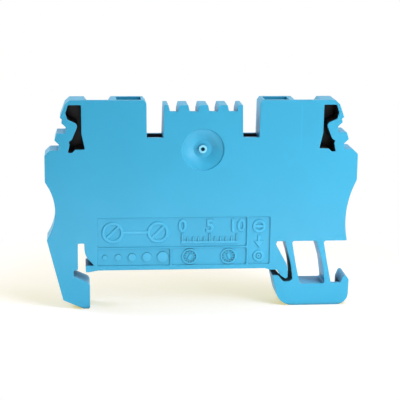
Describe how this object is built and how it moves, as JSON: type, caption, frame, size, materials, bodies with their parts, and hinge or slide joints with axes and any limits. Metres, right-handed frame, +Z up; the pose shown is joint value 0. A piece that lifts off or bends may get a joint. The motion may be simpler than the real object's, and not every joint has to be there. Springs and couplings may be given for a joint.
{
  "type": "feed-through terminal block",
  "caption": "Slim rail-mounted feed-through terminal block with tension clamps, jumper slots, snap arms for markers, a fixed hook foot and a springy latch foot.",
  "frame": {"origin": "Middle of the block's length and thickness, on the plane that the feet stand on.", "axes": "+X runs along the block from the fixed hook foot to the latch foot, +Y runs along the rail from the closed side to the open side, +Z points up from the feet to the wire entries."},
  "size_m": [0.0564, 0.0052, 0.0384],
  "materials": {
    "moulded_blue": "fine-grained moulded polyamide, satin",
    "tinned_copper": "bright tin plating",
    "spring_steel": "rolled stainless strip"
  },
  "bodies": {
    "block": {"housing": "moulded_blue", "current_bar": "tinned_copper"},
    "spring_left": {"clamp_spring_left": "spring_steel"},
    "spring_right": {"clamp_spring_right": "spring_steel"}
  },
  "joints": [
    {"name": "clamp_left", "type": "hinge", "parent": "block", "child": "spring_left", "pos_m": [-0.0138, 0.0001, 0.0279], "axis": [0, 1, 0], "range_deg": [0, 14], "stiffness_Nm_per_rad": 0.1, "deforming": ["clamp_spring_left"]},
    {"name": "clamp_right", "type": "hinge", "parent": "block", "child": "spring_right", "pos_m": [0.0138, 0.0001, 0.0279], "axis": [0, -1, 0], "range_deg": [0, 14], "stiffness_Nm_per_rad": 0.1, "deforming": ["clamp_spring_right"]}
  ]
}
